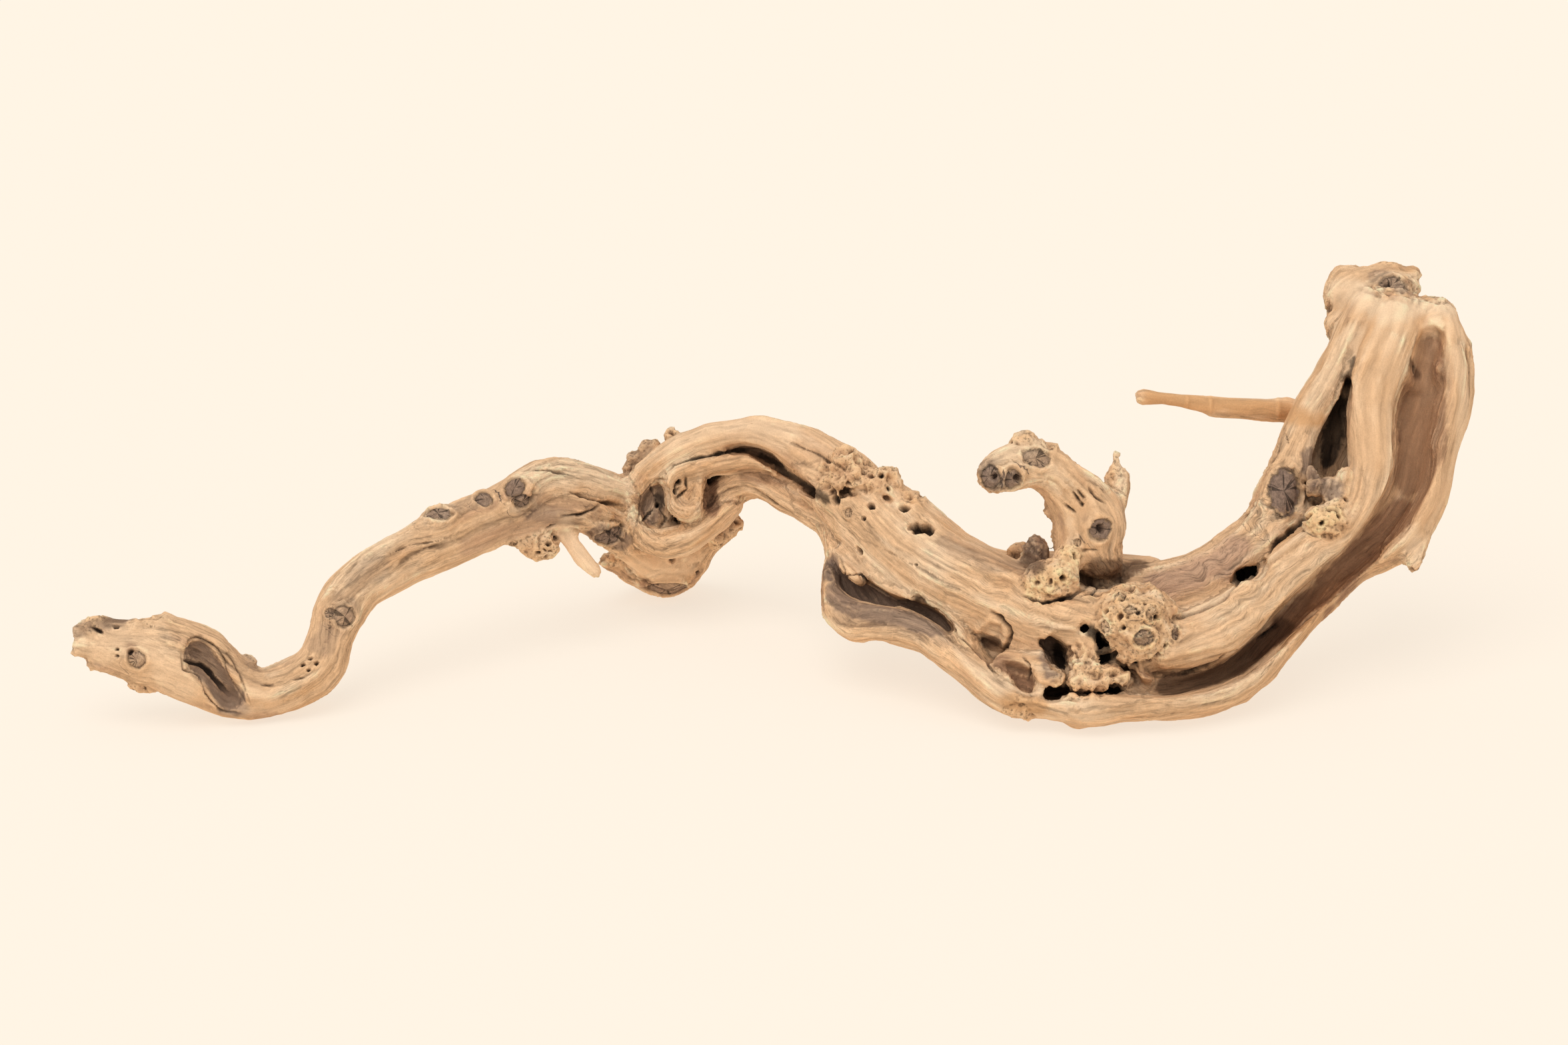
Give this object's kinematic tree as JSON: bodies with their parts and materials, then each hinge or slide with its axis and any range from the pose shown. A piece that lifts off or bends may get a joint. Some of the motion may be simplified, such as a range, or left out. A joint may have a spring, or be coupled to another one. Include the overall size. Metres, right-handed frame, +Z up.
{
  "type": "piece of driftwood",
  "caption": "Long twisted piece of bleached vine driftwood with hollows, burls, a looped strand and a raised forked end, lying on low points.",
  "frame": {"origin": "centre of the footprint's box, on the surface that the wood lies on", "axes": "+X along the stem, from the broken low end to the raised end; +Z up; the pictured side faces -Y"},
  "size_m": [0.9092, 0.281, 0.2565],
  "materials": {
    "bleached_wood": "dry, bleached and matt"
  },
  "bodies": {
    "root": {"driftwood": "bleached_wood"}
  },
  "joints": []
}
